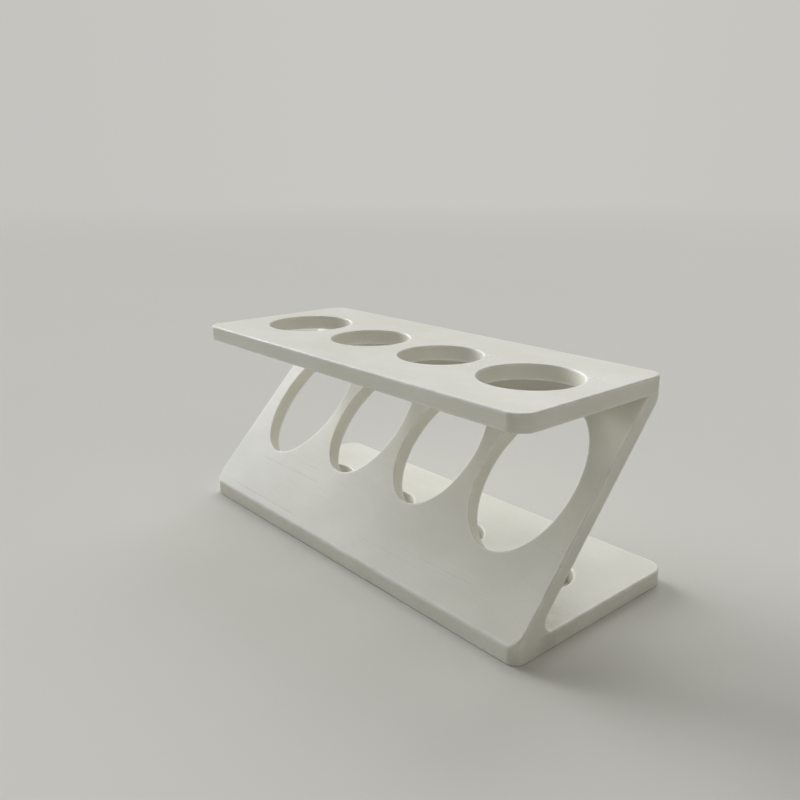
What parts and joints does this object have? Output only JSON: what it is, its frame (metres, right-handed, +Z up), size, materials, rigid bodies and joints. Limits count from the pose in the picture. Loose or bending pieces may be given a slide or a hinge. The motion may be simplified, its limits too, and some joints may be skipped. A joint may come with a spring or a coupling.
{
  "type": "toothbrush holder",
  "caption": "Free-standing Z-shaped toothbrush holder: top plate with a row of round holes, sloped front panel with matching openings, and a base plate with drain holes.",
  "frame": {"origin": "middle of the underside of the base plate", "axes": "+X to the right along the row of holes, +Y to the back, +Z up"},
  "size_m": [0.23, 0.1, 0.098],
  "materials": {
    "top_plate": "ivory white printed plastic, satin, faint raster marks",
    "front_panel": "ivory white printed plastic, satin, fine level layer lines",
    "base_plate": "ivory white printed plastic, satin, faint raster marks",
    "pegs": "ivory white plastic, plain"
  },
  "bodies": {
    "root": {"base_plate": "base_plate", "front_panel": "front_panel", "top_plate": "top_plate", "lower_pegs": "pegs", "upper_pegs": "pegs"}
  },
  "joints": []
}
